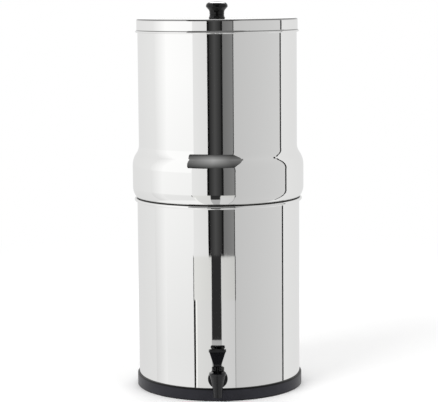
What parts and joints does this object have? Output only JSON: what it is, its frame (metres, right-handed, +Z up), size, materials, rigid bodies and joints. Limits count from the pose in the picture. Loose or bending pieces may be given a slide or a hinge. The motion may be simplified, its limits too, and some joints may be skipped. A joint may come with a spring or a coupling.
{
  "type": "gravity water filter with tap",
  "caption": "Countertop gravity water filter: nested polished steel chambers, knobbed lid, rubber base ring and a lever tap at the foot of the lower chamber",
  "frame": {"origin": "on the common axis of both chambers, in the plane of the base ring's underside, which is the surface it stands on", "axes": "+Z up along the chambers' axis, -Y towards the tap and the user, +X to the user's right"},
  "size_m": [0.254, 0.2761, 0.5715],
  "materials": {
    "chamber_steel": "mirror-polished stainless steel sheet",
    "base_rubber": "moulded matt black rubber",
    "washer_rubber": "cut black rubber",
    "knob_plastic": "turned glossy black plastic",
    "tap_plastic": "moulded glossy black plastic",
    "stem_plastic": "dark grey nylon",
    "nut_plastic": "satin black plastic",
    "cup_silicone": "translucent silicone",
    "filter_carbon": "pressed activated carbon, matt black",
    "fastener_steel": "plain stainless steel"
  },
  "bodies": {
    "base": {"base_ring": "base_rubber", "lower_chamber": "chamber_steel", "tap_body": "tap_plastic", "tap_bonnet": "tap_plastic", "tap_outer_washer": "washer_rubber", "tap_inner_washer": "washer_rubber", "tap_nut": "nut_plastic"},
    "upper": {"upper_chamber": "chamber_steel", "seal_washers": "washer_rubber", "wing_nuts": "nut_plastic", "blocking_plugs": "nut_plastic", "filter_base_left": "nut_plastic", "filter_base_right": "nut_plastic", "filter_block_left": "filter_carbon", "filter_block_right": "filter_carbon"},
    "lid": {"lid": "chamber_steel", "lid_knob": "knob_plastic", "knob_washer": "fastener_steel", "knob_screw": "fastener_steel"},
    "stem": {"tap_stem": "stem_plastic", "seat_cup": "cup_silicone", "lever_pin": "fastener_steel"},
    "lever": {"tap_lever": "tap_plastic"}
  },
  "joints": [
    {"name": "upper_lift", "type": "slide", "parent": "base", "child": "upper", "axis": [0, 0, 1], "range_m": [0, 0.08]},
    {"name": "lid_lift", "type": "slide", "parent": "upper", "child": "lid", "axis": [0, 0, 1], "range_m": [0, 0.05]},
    {"name": "stem_lift", "type": "slide", "parent": "base", "child": "stem", "axis": [0, 0, 1], "range_m": [0, 0.0035]},
    {"name": "lever_tilt", "type": "hinge", "parent": "stem", "child": "lever", "pos_m": [0, -0.13715, 0.051], "axis": [1, 0, 0], "range_deg": [0, 60], "stiffness_Nm_per_rad": 0.12, "springref_deg": -22.92}
  ],
  "couplings": [
    {"joint": "lever_tilt", "follows": "stem_lift", "rad_per_m": 299.2}
  ]
}
